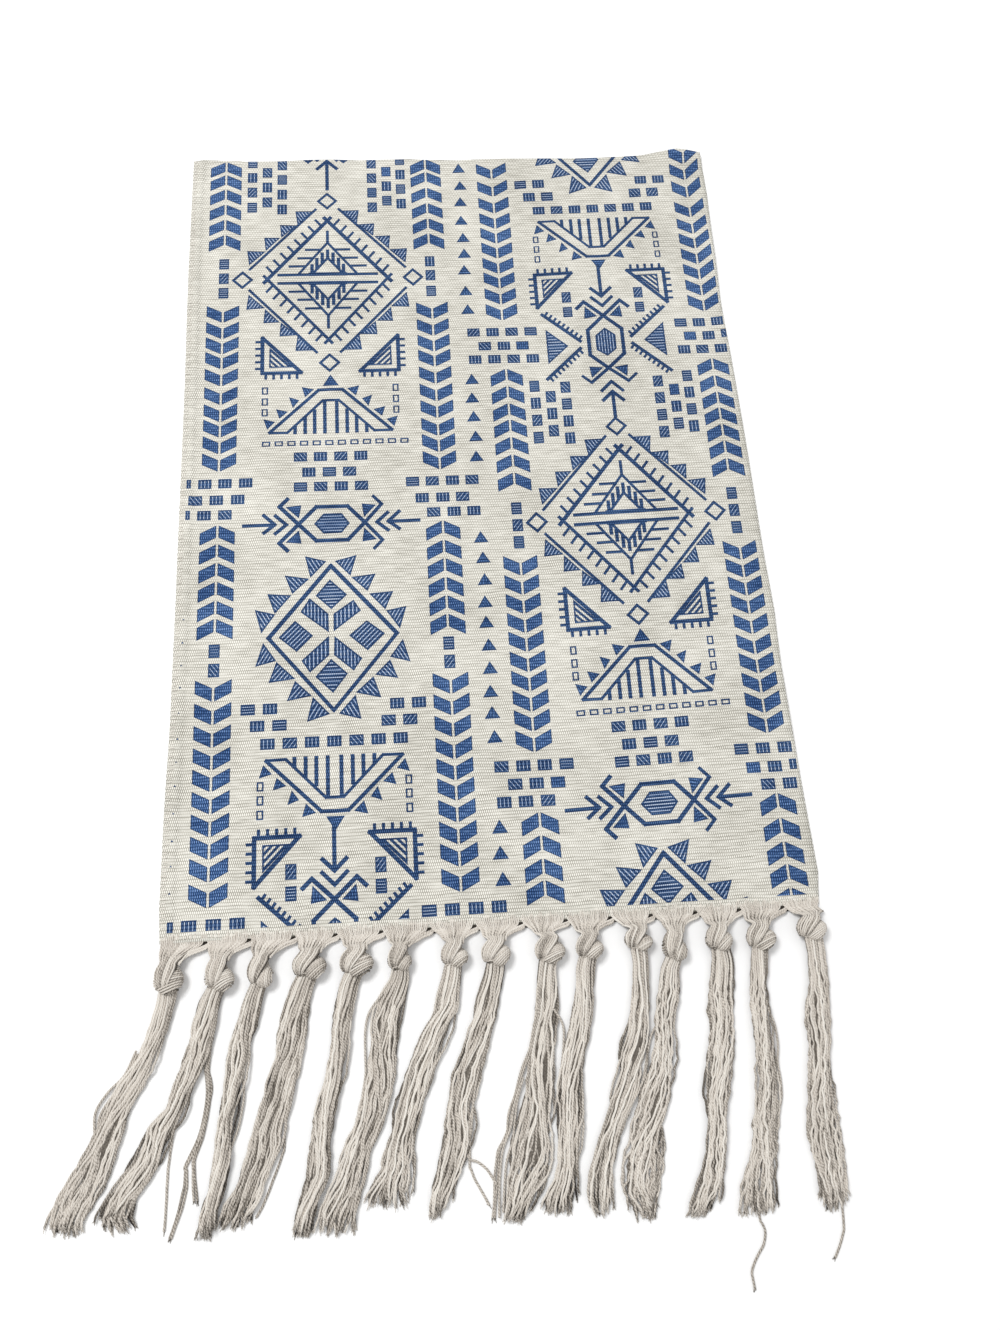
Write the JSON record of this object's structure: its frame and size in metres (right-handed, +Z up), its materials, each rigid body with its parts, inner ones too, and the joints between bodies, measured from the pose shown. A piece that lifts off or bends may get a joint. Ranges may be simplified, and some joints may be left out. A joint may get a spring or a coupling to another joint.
{
  "type": "fringed cloth wall hanging",
  "caption": "Flat woven cotton wall panel with a geometric print, a stitched side hem and a row of knotted yarn tassels along its lower edge.",
  "frame": {"origin": "centre of the footprint, on the surface that the cloth lies on", "axes": "+X towards the cloth's right side, +Y from the tassels to the top edge, +Z up out of the printed face"},
  "size_m": [0.5724, 0.9838, 0.015],
  "materials": {
    "cloth": "matte woven cotton canvas with a blue print",
    "yarn": "matte soft twisted cotton yarn"
  },
  "bodies": {
    "root": {"panel": "cloth", "tassel_01": "yarn", "tassel_02": "yarn", "tassel_03": "yarn", "tassel_04": "yarn", "tassel_05": "yarn", "tassel_06": "yarn", "tassel_07": "yarn", "tassel_08": "yarn", "tassel_09": "yarn", "tassel_10": "yarn", "tassel_11": "yarn", "tassel_12": "yarn", "tassel_13": "yarn", "tassel_14": "yarn", "tassel_15": "yarn", "loose_yarns_02a": "yarn", "loose_yarns_02b": "yarn", "loose_yarns_02c": "yarn", "loose_yarns_04": "yarn", "loose_yarns_08": "yarn", "loose_yarns_09": "yarn", "loose_yarns_14": "yarn", "loose_yarns_15": "yarn"}
  },
  "joints": []
}
